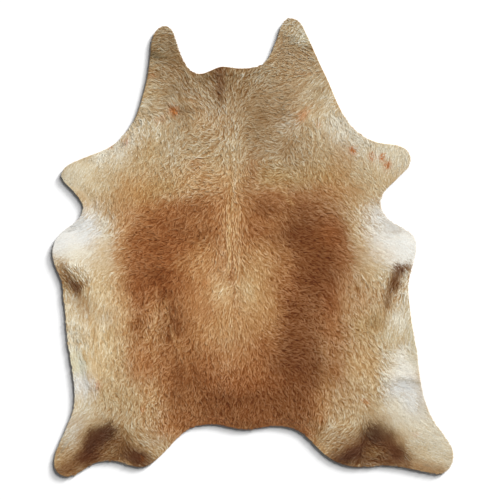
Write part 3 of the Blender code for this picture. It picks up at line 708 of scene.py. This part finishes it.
# the way the hair lies: heading in degrees from +X, root to tip; reach in cm; length in mm; wave, grain (how
# far the strands differ) and mottle (how far wider bands of them do) are 1 in a middling coat
Comb = namedtuple("Comb", "name x y heading reach length wave grain mottle")
combs = listOf(Comb, [
    ("nape", -11.5, 80.5, -85, 6, 34, 0.6, 1.8, 1),
    ("left nape", -23, 73, -52, 9, 28, 0.6, 1.4, 1),
    ("right nape", -4.5, 77, -120, 7, 26, 0.7, 1.5, 1),
    ("neck spine", -12.5, 59, -88, 7, 28, 0.6, 1.45, 0.8),
    ("left neck", -33, 61, -70, 8, 24, 1.0, 0.68, 1.8),
    ("left flap tip", -41.5, 96, 0, 8, 20, 0.7, 0.9, 1.5),
    ("left flap", -42, 86, -20, 8, 22, 0.7, 0.9, 1.5),
    ("left neck side", -47.5, 68.5, -5, 8, 24, 0.7, 0.55, 1.8),
    ("right flap tip", 18, 99, -150, 8, 22, 1.0, 0.9, 1.2),
    ("right flap root", 20.5, 87, -175, 8, 24, 0.7, 1, 1.2),
    ("right neck streaks", 28.5, 71, -138, 9, 36, 0.4, 0.6, 1.2),
    ("right neck", 9, 62, -175, 10, 24, 0.7, 0.7, 1.3),
    ("right neck foot", 7, 48.5, -178, 8, 24, 0.7, 0.9, 1.5),
    ("right shoulder", 24, 47, -82, 9, 24, 1.1, 0.8, 1.3),
    ("right shoulder side", 39, 49, -58, 9, 22, 0.9, 0.5, 1),
    ("left shoulder", -47.5, 44.5, -108, 11, 24, 1.1, 0.6, 1.3),
    ("left shoulder side", -65, 40, -118, 9, 22, 0.6, 0.4, 0.8),
    ("left foreleg", -80.5, 34.5, -115, 9, 18, 0.3, 0.3, 0.7),
    ("right foreleg", 65.5, 39, -100, 9, 18, 0.3, 0.3, 0.7),
    ("right armpit", 53, 26.5, -52, 8, 24, 0.6, 0.6, 1),
    ("left armpit", -62, 24, -100, 9, 24, 0.6, 0.6, 1.2),
    ("withers", -9.5, 38, -92, 6, 26, 0.8, 1.05, 0.8),
    ("left neck foot", -22.5, 50, -172, 7, 24, 1.0, 1, 1.4),
    ("left of the withers", -24, 36, -172, 8, 24, 1.1, 1.1, 1.5),
    ("left of the withers, outer", -36, 36, -100, 7, 24, 1.1, 1, 1.2),
    ("right of the withers", 8, 28.5, -12, 9, 24, 1.0, 1.1, 1.5),
    ("spine", -9.5, 10, -90, 6.5, 44, 0.3, 1.7, 0.8),
    ("left back", -29, 10, -130, 9, 26, 1.1, 1.2, 1.3),
    ("left saddle", -47.5, 4, -165, 10, 28, 1.0, 1.4, 1.3),
    ("left saddle rim", -61, 12.5, -105, 7, 28, 0.7, 0.9, 1.3),
    ("left belly", -70.5, 1, -142, 8, 28, 0.4, 0.3, 0.6),
    ("left belly corner", -84, 3.5, -165, 8, 18, 0.2, 0.08, 0.2),
    ("right back", 10, 10, -45, 9, 26, 0.8, 1.2, 1),
    ("right saddle", 28.5, 3.5, -8, 11, 28, 0.8, 1.8, 1.2),
    ("right saddle rim", 44.5, 10, -42, 8, 28, 0.7, 1.2, 1.2),
    ("right belly", 54, -1.5, -20, 8, 26, 0.4, 0.35, 0.6),
    ("right belly corner", 66.5, 4, -35, 8, 18, 0.2, 0.08, 0.2),
    ("left of the whorl", -19.5, -24.5, -122, 8, 28, 0.6, 0.8, 1),
    ("right of the whorl", 2.5, -24.5, -72, 8, 26, 0.7, 0.75, 1),
    ("loin", -8.5, -38, -90, 6, 28, 0.5, 1, 0.8),
    ("left mark", -83, -13, -52, 5, 22, 0.3, 1.4, 1.6),
    ("right mark", 66.5, -17.5, -112, 5, 24, 0.3, 1.4, 1.7),
    ("left flank", -74, -33.5, -96, 10, 26, 0.6, 0.45, 2),
    ("left loin", -43.5, -31, -110, 8, 28, 1.1, 1.8, 1.6),
    ("right loin", 21.5, -24.5, -10, 9, 24, 1.0, 2.3, 1.3),
    ("right flank", 44.5, -20, -72, 7, 26, 0.6, 1, 2.2),
    ("right haunch lines", 18, -45, -3, 7, 26, 0.7, 1.8, 1.3),
    ("right haunch", 35.5, -42.5, -45, 9, 26, 1.2, 1.5, 1.4),
    ("right thigh", 52, -55.5, -57, 9, 34, 0.6, 1.2, 1.2),
    ("right flank foot", 71.5, -57.5, -15, 7, 16, 0.2, 0.12, 0.4),
    ("right flank side", 68.5, -36, -95, 8, 22, 0.4, 0.45, 0.9),
    ("left haunch", -38, -52, -100, 10, 26, 1.2, 1.45, 1.6),
    ("left flank foot", -78.5, -59, -76, 8, 18, 0.3, 0.3, 0.6),
    ("left thigh", -61, -63.5, -95, 9, 24, 1.0, 0.75, 1.2),
    ("rump", -10.5, -70.5, -90, 10, 22, 1.0, 1.7, 1.2),
    ("left rump", -33.5, -72.5, -105, 9, 22, 1.0, 1.6, 1.2),
    ("right rump", 17, -70.5, -70, 10, 22, 1.0, 1.6, 1.2),
    ("left hock", -76, -83, -138, 7, 22, 0.3, 0.4, 0.6),
    ("left hind arch", -66.5, -91, -170, 5, 22, 0.8, 1.9, 1.6),
    ("left heel", -51, -93.5, -42, 7, 24, 0.4, 1, 1),
    ("left toe", -88, -100, -155, 7, 20, 0.6, 0.8, 1),
    ("right hock", 65.5, -82, -48, 8, 22, 0.25, 0.18, 0.4),
    ("right hind arch", 56, -95.5, -15, 5, 24, 0.8, 1.9, 1.8),
    ("right heel", 42.5, -92.5, -148, 7, 24, 0.5, 1.1, 1.2),
    ("right shin", 81.5, -94.5, -17, 9, 20, 0.25, 0.28, 0.5),
    ("right toe", 67.5, -99, -40, 6, 22, 0.4, 0.8, 1),
])

lay = {
    "combSpots": np.array([(c.x, c.y, c.reach) for c in combs]) * cm,
    "combHeadings": np.radians([c.heading for c in combs]),
    "combHabits": np.array([(c.length * mm, c.wave, c.grain, c.mottle) for c in combs]),
    "softness": 0.1, "steepness": 4,  # of a comb's weight, at its middle and away from it
    "ripple": 1.2 * cm, "rippleTurn": 48, "rippleSeed": 11,  # small waves: size, and turn in degrees at wave 1
    "swirl": 8.0 * cm, "swirlTurn": 20, "swirlSeed": 12,
}


# The heading at a place is that of the combs' mean way, weighted by 1 / (softness + (distance / reach)^
# steepness), and turned by two sizes of noise times the wave there. Also gives the mean length, wave, grain
# and mottle.
def hairLay(x, y):
    spots, headings = lay["combSpots"], lay["combHeadings"]
    away = np.hypot(x[:, None] - spots[:, 0], y[:, None] - spots[:, 1]) / spots[:, 2]
    weight = 1 / (lay["softness"] + away ** lay["steepness"])
    weight /= weight.sum(axis=1)[:, None]
    length, wave, grain, mottle = (weight @ lay["combHabits"]).T
    heading = np.arctan2(weight @ np.sin(headings), weight @ np.cos(headings))
    ripple, swirl = [np.radians(lay[key + "Turn"]) * softNoise(x, y, lay[key], lay[key + "Seed"])
                     for key in ("ripple", "swirl")]
    return heading + wave * (ripple + swirl), length, wave, grain, mottle


# how far apart and how often they are averaged along the hair, and their size across it
streaks = {"step": 4 * mm, "steps": 3, "size": 2.6 * mm, "seed": 21}
bands = {"step": 8 * mm, "steps": 3, "size": 6 * mm, "seed": 22}


# Streaks along the hair: chance values to the left of a place less those to its right, so that light and
# dark strands take turns across the lay, averaged over a few steps up and down it, spread about 1.
def strandNoise(x, y, step, steps, size, seed):
    total = np.zeros(len(x))
    for way in (1, -1):
        px, py = x.copy(), y.copy()
        for _ in range(steps):
            heading = hairLay(px, py)[0]
            sideX, sideY = -size * np.sin(heading), size * np.cos(heading)
            total += (softNoise(px + sideX, py + sideY, size, seed)
                      - softNoise(px - sideX, py - sideY, size, seed))
            px += way * step * np.cos(heading)
            py += way * step * np.sin(heading)
    return total / total.std()


# Places on a lattice of equal triangles that covers the hide.
def lattice(spacing):
    halfWidth, halfLength = 0.95, 1.08
    columns = np.arange(-halfWidth, halfWidth, spacing)
    rows = np.arange(-halfLength, halfLength, spacing * np.sqrt(3) / 2)
    x, y = np.meshgrid(columns, rows)
    x = x + spacing / 2 * (np.arange(len(rows)) % 2)[:, None]
    return x.ravel(), y.ravel()


# A mesh of triangles from arrays, with maps, colours and, if given, normals by the point.
def makePiece(name, points, triangles, maps, colours, material, normals=None):
    mesh = bpy.data.meshes.new(name)
    mesh.vertices.add(len(points))
    mesh.vertices.foreach_set("co", points.astype(np.float32).ravel())
    mesh.loops.add(triangles.size)
    mesh.loops.foreach_set("vertex_index", triangles.astype(np.int32).ravel())
    mesh.polygons.add(len(triangles))
    mesh.polygons.foreach_set("loop_start", np.arange(0, triangles.size, 3, dtype=np.int32))
    mesh.polygons.foreach_set("use_smooth", np.ones(len(triangles), bool))
    for key, values in maps.items():
        mesh.uv_layers.new(name=key).data.foreach_set("uv", values[triangles].astype(np.float32).ravel())
    layer = mesh.attributes.new("coat", "FLOAT_COLOR", "POINT")
    layer.data.foreach_set("color", np.c_[colours, np.ones(len(colours))].astype(np.float32).ravel())
    mesh.update(calc_edges=True)
    if normals is not None:
        mesh.normals_split_custom_set_from_vertices(normals.tolist())
    mesh.materials.append(material)
    piece = bpy.data.objects.new(name, mesh)
    bpy.context.scene.collection.objects.link(piece)
    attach(piece, "root")
    return piece


# A socket that can be reckoned with: sums, differences and products of it are Math nodes.
class Wire:
    def __init__(self, tree, socket):
        self.tree, self.socket = tree, socket

    def maths(self, operation, *values):
        return self.tree.node("ShaderNodeMath", {"operation": operation}, dict(enumerate(values)))

    def __add__(self, other):
        return self.maths("ADD", self, other)

    def __sub__(self, other):
        return self.maths("SUBTRACT", self, other)

    def __rsub__(self, other):
        return self.maths("SUBTRACT", other, self)

    def __mul__(self, other):
        return self.maths("MULTIPLY", self, other)

    __radd__ = __add__
    __rmul__ = __mul__


# A material as a tree of nodes.
class Finish:
    def __init__(self, name):
        self.material = bpy.data.materials.new(name)
        self.material.use_nodes = True
        self.material.node_tree.nodes.clear()

    # one node: its type, its settings, then the values or wires of its sockets, by name or number
    def node(self, kind, settings, sockets, output=0):
        made = self.material.node_tree.nodes.new(kind)
        for key, value in settings.items():
            setattr(made, key, value)
        for key, value in sockets.items():
            if isinstance(value, Wire):
                self.material.node_tree.links.new(value.socket, made.inputs[key])
            else:
                made.inputs[key].default_value = value
        return Wire(self, made.outputs[output])

    # the mesh's own colour, made lighter or darker by a wire about 1
    def shadedCoat(self, shade):
        own = self.node("ShaderNodeAttribute", {"attribute_name": "coat"}, {})
        grey = self.node("ShaderNodeCombineColor", {}, {0: shade, 1: shade, 2: shade})
        return self.node("ShaderNodeMix", {"data_type": "RGBA", "blend_type": "MULTIPLY"},
                         {0: 1.0, 6: own, 7: grey}, output=2)

    # the surface, by the values or wires of its sockets, wired to the output
    def finish(self, sockets):
        shader = self.node("ShaderNodeBsdfPrincipled", {}, sockets)
        end = self.material.node_tree.nodes.new("ShaderNodeOutputMaterial")
        self.material.node_tree.links.new(shader.socket, end.inputs["Surface"])
        return self.material


coatFinish = {
    "streakWidth": 1.1 * mm, "streakLength": 16 * mm, "streakShade": 0.22,
    "roughness": 0.58, "roughSpread": 0.3, "groove": 0.5 * mm, "grooveStrength": 0.6, "gloss": 0.15,
}


# Coat: each lock's own colour, lighter and darker in streaks along it, with the same streaks as grooves, so it
# is darker in the grooves: partly the strands' own tone, partly painted shade.
def coatMaterial():
    f = Finish("cattle hair")
    lock = f.node("ShaderNodeUVMap", {"uv_map": "lock"}, {})
    streak = f.node("ShaderNodeTexNoise", {"noise_dimensions": "2D"},
                    {"Vector": lock, "Scale": 1.0, "Detail": 2.0, "Roughness": 0.55})
    groove = f.node("ShaderNodeBump", {}, {
        "Strength": coatFinish["grooveStrength"], "Distance": coatFinish["groove"], "Height": streak})
    return f.finish({
        "Base Color": f.shadedCoat((streak - 0.5) * (2 * coatFinish["streakShade"]) + 1.0),
        "Roughness": (streak - 0.5) * coatFinish["roughSpread"] + coatFinish["roughness"],
        "Normal": groove, "Specular IOR Level": coatFinish["gloss"]})


skinFinish = {
    "leather": (0.56, 0.44, 0.32), "pore": 1.2 * mm, "poreShade": 0.5, "cloud": 4 * cm, "cloudShade": 0.35,
    "roughness": 0.82, "roughSpread": 0.25, "nap": 0.4 * mm, "napStrength": 0.5, "gloss": 0.2,
}


# Skin: coat-coloured stubble on the hair side, its colour darkened as painted shade under the locks, pale
# leather with a nap on the cut edge and flesh side.
def skinMaterial():
    f = Finish("tanned skin")
    place = f.node("ShaderNodeTexCoord", {}, {}, output="Object")
    pore, cloud = [f.node("ShaderNodeTexNoise", {}, {"Vector": place, "Scale": 1 / size, "Detail": detail})
                   for size, detail in ((skinFinish["pore"], 3.0), (skinFinish["cloud"], 4.0))]
    nap = f.node("ShaderNodeBump", {}, {
        "Strength": skinFinish["napStrength"], "Distance": skinFinish["nap"], "Height": pore})
    shade = (pore - 0.5) * skinFinish["poreShade"] + (cloud - 0.5) * skinFinish["cloudShade"] + 1.0
    return f.finish({
        "Base Color": f.shadedCoat(shade),
        "Roughness": (pore - 0.5) * skinFinish["roughSpread"] + skinFinish["roughness"],
        "Normal": nap, "Specular IOR Level": skinFinish["gloss"]})


# the leather with its cut edge
skin = {
    "thickness": 2.5 * mm, "bevel": 1.2 * mm, "inset": 2.5 * mm, "rings": 3,
    "spacing": 17 * mm, "clear": 14 * mm,  # its lattice, and the room left between that and the edge
    "stubblePaintedShadeBase": 0.9, "stubblePaintedShadeByGrain": 0.35,  # painted shade under the locks: the stubble is darker, the more where the strands differ more
}


# The points of a clockwise loop moved inwards, across the way from the point before to the point after.
def insetLoop(loop, distance):
    ahead = np.roll(loop, -1, axis=0) - np.roll(loop, 1, axis=0)
    ahead /= np.linalg.norm(ahead, axis=1)[:, None]
    return loop + distance * np.stack([ahead[:, 1], -ahead[:, 0]], axis=1)


# Two sheets of the same triangles, a thickness apart, joined round the edge by a half round: ring k stands
# out by bevel sin(k) and at half the thickness times 1 + cos(k), k from 0 above to pi below.
def buildSkin():
    rim = insetLoop(edge, skin["inset"] + skin["bevel"])
    x, y = lattice(skin["spacing"])
    within = insideBy(x, y)[0] > skin["clear"]
    flat = np.concatenate([rim, np.stack([x[within], y[within]], axis=1)])
    sides = [(k, (k + 1) % len(rim)) for k in range(len(rim))]
    found = delaunay_2d_cdt([Vector(p) for p in flat], sides, [], 1, 1e-6)
    spots = np.array([tuple(p) for p in found[0]])
    top = np.array([tuple(t) for t in found[2]])
    a, b, c = spots[top[:, 0]], spots[top[:, 1]], spots[top[:, 2]]
    facing = (b[:, 0] - a[:, 0]) * (c[:, 1] - a[:, 1]) - (b[:, 1] - a[:, 1]) * (c[:, 0] - a[:, 0])
    top[facing < 0] = top[facing < 0][:, ::-1]
    gap = floorGap(spots[:, 0], spots[:, 1], *insideBy(spots[:, 0], spots[:, 1]))
    n, m = len(spots), len(rim)
    bends = np.pi * np.arange(1, skin["rings"] + 1) / (skin["rings"] + 1)
    rings = [np.c_[insetLoop(rim, -skin["bevel"] * np.sin(k)),
                   gap[:m] + skin["thickness"] * (1 + np.cos(k)) / 2] for k in bends]
    points = np.concatenate([np.c_[spots, gap + skin["thickness"]], np.c_[spots, gap], *rings])
    firsts = [0] + [2 * n + k * m for k in range(skin["rings"])] + [n]
    walls = []
    for first, last in zip(firsts[:-1], firsts[1:]):
        outer, inner = first + np.arange(m), last + np.arange(m)
        nextOuter, nextInner = np.roll(outer, -1), np.roll(inner, -1)
        walls += [np.c_[outer, nextOuter, inner], np.c_[nextOuter, nextInner, inner]]
    triangles = np.concatenate([top, top[:, ::-1] + n, *walls])
    colours = np.tile(np.array(skinFinish["leather"]), (len(points), 1))
    # painted shade: the hair side is the coat's colour made darker, as if shaded by the locks over it
    grain = np.minimum(hairLay(spots[:, 0], spots[:, 1])[3], 1)
    stubble = skin["stubblePaintedShadeBase"] - skin["stubblePaintedShadeByGrain"] * grain
    colours[:n] = coatColour(spots[:, 0], spots[:, 1]) * stubble[:, None]
    piece = makePiece("hide-skin", points, triangles, {}, colours, skinMaterial())
    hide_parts("hide")
    return piece


hide = buildSkin()
print("skin:", len(hide.data.polygons), "triangles")

# the short blades of the pile, each a few dozen hairs
locks = {
    "seed": 7, "thinningSeed": 57, "steps": 3, "spacing": 4.12 * mm, "scatter": 0.45,
    "density": 99, "leastMottle": 0,  # the chance of a lock is its density times the mottle above the least
    "edgeMargin": 1.8 * mm, "overhang": 2.0 * mm, "leastLength": 5 * mm,
    "lengthShare": 0.64, "lengthSpread": 0.25,
    "grains": (0.1, 1.2),  # the least and the most grain that its shape follows
    "jitterTurn": 12, "calmJitter": 0.4,  # in degrees; calm is the share of it where the coat has no wave
    "width": 3.5 * mm, "widthSpread": 0.25,
    "taper": (0.75, 1.0, 0.85, 0),  # its width at the root, a third, two thirds and the tip
    "clump": 7 * mm, "clumpScatter": 0.3, "clumpPull": 0.22, "calmPull": 0.3, "clumpBend": 1.5,
    "rootHeight": 2.8 * mm, "rise": 0.04, "arch": 0.3 * mm,
    "levelHeight": 0.7 * mm, "levelShare": 0.65, "rootShare": 0.3,
    "raised": 0.04, "raisedHeight": 1.2 * mm, "leastRaise": 0.4,
    "edgeSlope": 12 * mm, "edgeDrop": 1.5 * mm,  # from where the pile grows lower, and how far its tips drop
    "roll": 0.05, "leanShare": 0.4, "rounding": 0.10,  # how far its normals lean with it, and out at its sides
    # painted light and shade in the pile: higher locks are lighter, and all are darker towards the root
    "meanTone": -0.12, "levelPaintedLight": 0.26, "lockTone": 0.10, "clumpTone": 0.02, "streakTone": 0.255,
    "cloudTone": 0.085, "clouds": ((1, 2.4 * cm, 31), (0.8, 6 * cm, 32)),  # each cloud's share, size and seed
    "bandTone": 0.06, "mostTone": 0.7, "lightest": 0.9,
    "rootPaintedShade": -0.28, "tipTone": 0.05, "fadeBend": 0.7, "calmFade": 0.2,
    "hueShift": (0.64, 1.06, 1.64),  # how much a tone moves red, green and blue: light hair is paler too
    "coolestGreen": 0.92, "coolestBlue": 0.80,  # the most green for its red, and blue for its green
    "strayAlong": 0.9 * cm, "strayAcross": 0.3 * cm,  # how far off a lock may take its colour
}
# fewer, longer and lighter ones, which lie over the locks where the coat is mottled
strands = {
    **locks, "seed": 9, "thinningSeed": 59, "steps": 6, "density": 0.3, "leastMottle": 0.2,
    "spacing": 17 * mm, "width": 2.8 * mm, "lengthShare": 1.3, "lengthSpread": 0.35,
    "rootHeight": 3.6 * mm, "rise": 0.012, "levelHeight": 0.5 * mm, "raised": 0, "clumpPull": 0,
    "jitterTurn": 6, "edgeMargin": 10 * mm, "overhang": 0, "meanTone": 0.18, "levelPaintedLight": 0.05,
    "lockTone": 0.26, "streakTone": 0.05, "rootPaintedShade": -0.15, "tipTone": 0.1,
    "strayAlong": 0.3 * cm, "strayAcross": 0.1 * cm,
}
clumps = {"cells": 401, "seed": 8}  # chance values by clump, in as many columns and rows before they repeat
tiling = {"columns": 4, "rows": 5, "bakeMargin": 0.005}


# From the least value at share 0 to 1 at share 1.
def upFrom(least, share):
    return least + (1 - least) * share


# Where locks stand, scattered off a lattice, clear of the edge and thinned out by chance. Rows of x, y, depth
# inside the edge and curl, then of the lay's heading, length, wave, grain and mottle.
def rootPlaces(habit, dice):
    spacing, scatter = habit["spacing"], habit["scatter"]
    x, y = [values + dice.uniform(-scatter, scatter, values.size) * spacing for values in lattice(spacing)]
    depth, curlHeight = insideBy(x, y)
    places = np.array([x, y, depth, curlHeight])[:, depth > habit["edgeMargin"]]
    places = np.concatenate([places, np.array(hairLay(places[0], places[1]))])
    chance = np.random.default_rng(habit["thinningSeed"]).uniform(0, 1, places.shape[1])
    return places[:, chance < habit["density"] * (places[-1] - habit["leastMottle"])]


# By lock, its left and right values in turn from the root on, then its tip's.
def bladeOrder(left, right, tip):
    return np.stack([side[k] for k in range(len(left) - 1) for side in (left, right)] + [tip], axis=1)


# Flat blades along the stations in px, py and pz: points half the tapering width to either side, and normals
# that lean less than the locks, since light spreads within the pile, and outwards at the sides, which rounds
# them.
def shapeBlades(habit, stations, px, py, pz, width, lean):
    alongX, alongY = np.gradient(px, axis=0), np.gradient(py, axis=0)
    norm = np.hypot(alongX, alongY) + 1e-9
    wayX, wayY = alongX / norm, alongY / norm
    thirds = (0, 1 / 3, 2 / 3, 1)
    half = width / 2 * np.interp(stations, thirds, habit["taper"])[:, None]
    slope = habit["leanShare"] * np.gradient(pz, axis=0) / norm
    sides, tilted = [], []
    for turn in (-1, 1):
        tilt = habit["leanShare"] * lean + turn * habit["rounding"]
        side = [px + turn * wayY * half, py - turn * wayX * half, pz - turn * lean * half]
        normal = [tilt * wayY - slope * wayX, -slope * wayY - tilt * wayX, slope * 0 + 1]
        sides.append(np.stack(side, axis=2))
        tilted.append(np.stack(normal, axis=2))
    normals = bladeOrder(*tilted, (tilted[0][-1] + tilted[1][-1]) / 2)
    normals /= np.linalg.norm(normals, axis=2)[:, :, None]
    return bladeOrder(*sides, sides[0][-1]), normals


# The coat's colour times exp(tone x hue shift), kept from turning too cool.
def tonedCoat(habit, coat, tones):
    colours = coat[:, None, :] * np.exp(tones[:, :, None] * np.array(habit["hueShift"]))
    for k, coolest in ((1, habit["coolestGreen"]), (2, habit["coolestBlue"])):
        share = np.maximum(coolest, coat[:, k] / coat[:, k - 1])[:, None]
        colours[:, :, k] = np.minimum(colours[:, :, k], colours[:, :, k - 1] * share)
    return np.clip(colours, 0, habit["lightest"])


# Each lock is a blade that follows the lay in some steps: a left and a right point at each but its tip. It
# rises from root to tip, the more the higher its level in the pile, and leans a little to one side. Higher
# locks are lighter, as are all towards their tips, as painted light and shade in the pile. Gives where the
# locks stand, the triangles of one, and by lock and point its place, normal, colour and map.
def growHair(habit):
    dice = np.random.default_rng(habit["seed"])
    steps = habit["steps"]
    stations = np.arange(steps + 1) / steps
    x, y, depth, curlHeight, heading, length, wave, grain, mottle = rootPlaces(habit, dice)
    count = len(x)
    lively = np.clip(grain, *habit["grains"])
    length = length * habit["lengthShare"] * (1 + habit["lengthSpread"] * dice.uniform(-1, 1, count))
    jitter = np.radians(habit["jitterTurn"]) * dice.normal(0, 1, count) * upFrom(habit["calmJitter"], wave)

    # by the edge it is shortened to end just past it
    endX, endY = x + length * np.cos(heading), y + length * np.sin(heading)
    endDepth = insideBy(endX, endY)[0]
    over = endDepth < -habit["overhang"]
    length = np.where(over, length * (depth + habit["overhang"]) / (depth - endDepth + 1e-9), length)
    length = np.maximum(length, habit["leastLength"])

    px, py = [x], [y]
    for _ in range(steps):
        way = hairLay(px[-1], py[-1])[0] + jitter
        px.append(px[-1] + length / steps * np.cos(way))
        py.append(py[-1] + length / steps * np.sin(way))
    px, py = np.array(px), np.array(py)
    strayAlong, strayAcross = [dice.normal(0, habit[key], count) for key in ("strayAlong", "strayAcross")]
    strayX = strayAlong * np.cos(heading) - strayAcross * np.sin(heading)
    strayY = strayAlong * np.sin(heading) + strayAcross * np.cos(heading)
    middle = steps * 2 // 3
    coat = coatColour(px[middle] + strayX, py[middle] + strayY)

    # tips draw together towards their clump's middle, the more the further along
    size, cells = habit["clump"], clumps["cells"]
    ci, cj = np.floor(px[-1] / size).astype(int), np.floor(py[-1] / size).astype(int)
    clumpDice = np.random.default_rng(clumps["seed"]).uniform(-1, 1, (3, cells, cells))
    offX, offY, clumpChance = clumpDice[:, ci % cells, cj % cells]
    clumpX = (ci + 0.5 + habit["clumpScatter"] * offX) * size
    clumpY = (cj + 0.5 + habit["clumpScatter"] * offY) * size
    along = stations[:, None]
    pull = habit["clumpPull"] * np.minimum(1, wave + habit["calmPull"]) * along ** habit["clumpBend"]
    px += pull * (clumpX - px[-1])
    py += pull * (clumpY - py[-1])

    # heights over the floor; a few locks stand up out of the pile
    level = dice.uniform(-1, 1, count)
    streak, band = strandNoise(x, y, **streaks), strandNoise(x, y, **bands)
    raised = dice.uniform(0, 1, count) < habit["raised"]
    raised = raised * dice.uniform(habit["leastRaise"], 1, count) * np.minimum(wave, 1)
    near = np.clip(depth / habit["edgeSlope"], 0, 1)
    stack = habit["levelShare"] * level + (1 - habit["levelShare"]) * streak.clip(-2, 2)
    pz = floorGap(x, y, depth, curlHeight) + habit["rootHeight"] + habit["rise"] * length * along
    pz += habit["levelHeight"] * lively * stack * upFrom(habit["rootShare"], along) * near
    pz += raised * habit["raisedHeight"] * along * near + habit["arch"] * np.sin(np.pi * along)
    pz[-1] -= (1 - near) * habit["edgeDrop"]

    width = habit["width"] * (1 + habit["widthSpread"] * dice.uniform(-1, 1, count))
    lean = habit["roll"] * lively * dice.normal(0, 1, count)
    points, normals = shapeBlades(habit, stations, px, py, pz, width, lean)

    # lighter or darker by level, lock, clump, streak, band and clouds, and from root to tip; since level and
    # streak also set the height, higher locks and their tips are lighter: painted light and shade in the pile,
    # besides the streaks' own tone
    cloud = sum(share * softNoise(x, y, size, seed) for share, size, seed in habit["clouds"])
    tone = habit["meanTone"] + habit["levelPaintedLight"] * level + habit["lockTone"] * dice.normal(0, 1, count)
    tone += habit["clumpTone"] * clumpChance + habit["streakTone"] * streak
    tone = grain * tone + mottle * (habit["cloudTone"] * cloud + habit["bandTone"] * band)
    tone = np.where(tone > 0, habit["mostTone"] * np.tanh(tone / habit["mostTone"]), tone)
    bladeAlong = np.append(np.repeat(stations[:-1], 2), 1.0)
    fade = habit["rootPaintedShade"] + (habit["tipTone"] - habit["rootPaintedShade"]) * bladeAlong ** habit["fadeBend"]
    colours = tonedCoat(habit, coat, tone[:, None] + upFrom(habit["calmFade"], lively)[:, None] * fade)

    # its own map, in streak widths across and streak lengths along, moved to a place of its own
    bladeAcross = np.append(np.tile([0, 1], steps), 0.5)
    u = width[:, None] * bladeAcross / coatFinish["streakWidth"] + 17.0 * np.arange(count)[:, None] % 991
    v = length[:, None] * bladeAlong / coatFinish["streakLength"] + dice.uniform(0, 50, count)[:, None]
    firsts = 2 * np.arange(steps - 1)
    blade = [(k + 1, k + 3, k + 2) for k in firsts] + [(k + 1, k + 2, k) for k in firsts]
    blade += [(2 * steps - 1, 2 * steps, 2 * steps - 2)]
    rows = np.concatenate([points, normals, colours, np.stack([u, v], axis=2)], axis=2)
    return np.stack([x, y], axis=1), np.array(blade), rows


# One piece for each tile of the hide, with the locks and the strands that stand in it.
def buildHair():
    kinds = [growHair(locks), growHair(strands)]
    low, high = edge.min(axis=0), edge.max(axis=0)
    tileCount = np.array([tiling["columns"], tiling["rows"]])
    tileOf = [((places - low) / (high - low) * tileCount).astype(int).clip(0, tileCount - 1)
              for places, _, _ in kinds]
    material = coatMaterial()
    pieces = []
    for r in range(tiling["rows"]):
        for c in range(tiling["columns"]):
            parts, triangles, first = [], [], 0
            for (_, blade, rows), tile in zip(kinds, tileOf):
                part = rows[(tile == (c, r)).all(axis=1)]
                count, size = part.shape[:2]
                triangles.append((blade + first + size * np.arange(count)[:, None, None]).reshape(-1, 3))
                parts.append(part.reshape(-1, part.shape[2]))
                first += count * size
            if first == 0:
                continue
            points, normals, colours, lockMap = np.split(np.concatenate(parts), [3, 6, 9], axis=1)
            triangles = np.concatenate(triangles)
            corner, span = points[:, :2].min(axis=0), np.ptp(points[:, :2], axis=0).max()
            margin = tiling["bakeMargin"]
            maps = {"lock": lockMap, "OFBake": margin + (1 - 2 * margin) * (points[:, :2] - corner) / span}
            piece = makePiece(f"hair-row{r + 1}-column{c + 1}", points, triangles, maps,
                              colours, material, normals)
            pieces.append(piece)
            print(piece.name, len(triangles), "triangles, size", np.ptp(points, axis=0).round(3))
    return pieces


tiles = buildHair()
print("hair:", sum(len(t.data.polygons) for t in tiles), "triangles in", len(tiles), "pieces")

# the floor, the light and the camera
studio = {
    "cameraHeight": 7.0, "cameraX": -0.0133, "cameraY": -0.0133, "spanAcross": 2.30, "farthest": 100,
    "sensor": 36,  # mm
    "worldStrength": 0.13, "floorTone": 0.86, "floorSize": 40,
}

Lamp = namedtuple("Lamp", "name azimuth elevation strength angle")  # degrees; 0 is from +X
lamps = [
    Lamp("key", 48, 27, 4.4, 30),
    Lamp("low key", 47, 13, 6.6, 10),
]


# A wide pale floor, a white sky, suns from behind to the right, and the camera straight above.
def buildStudio():
    scene = bpy.context.scene
    half = studio["floorSize"] / 2
    corners = [(-half, -half, 0), (half, -half, 0), (half, half, 0), (-half, half, 0)]
    mesh = bpy.data.meshes.new("floor")
    mesh.from_pydata(corners, [], [(0, 1, 2, 3)])
    floor = bpy.data.objects.new("floor", mesh)
    scene.collection.objects.link(floor)
    tone = studio["floorTone"]
    mesh.materials.append(Finish("pale floor").finish({
        "Base Color": (tone, tone, tone, 1), "Roughness": 0.9, "Specular IOR Level": 0.1}))

    world = bpy.data.worlds.new("studio")
    world.use_nodes = True
    world.node_tree.nodes["Background"].inputs["Color"].default_value = (1, 1, 1, 1)
    world.node_tree.nodes["Background"].inputs["Strength"].default_value = studio["worldStrength"]
    scene.world = world

    for name, azimuth, elevation, strength, angle in lamps:
        round, up = np.radians(azimuth), np.radians(elevation)
        towards = Vector((np.cos(round) * np.cos(up), np.sin(round) * np.cos(up), np.sin(up)))
        sun = bpy.data.lights.new(name, "SUN")
        sun.energy = strength
        sun.angle = np.radians(angle)
        lamp = bpy.data.objects.new(name, sun)
        lamp.rotation_euler = towards.to_track_quat("Z", "Y").to_euler()
        scene.collection.objects.link(lamp)

    lens = bpy.data.cameras.new("camera")
    lens.sensor_width = studio["sensor"]
    lens.lens = studio["sensor"] * studio["cameraHeight"] / studio["spanAcross"]
    lens.clip_end = studio["farthest"]
    camera = bpy.data.objects.new("camera", lens)
    camera.location = (studio["cameraX"], studio["cameraY"], studio["cameraHeight"])
    scene.collection.objects.link(camera)
    scene.camera = camera
    scene.view_settings.view_transform = "Standard"


buildStudio()
print("studio ready")
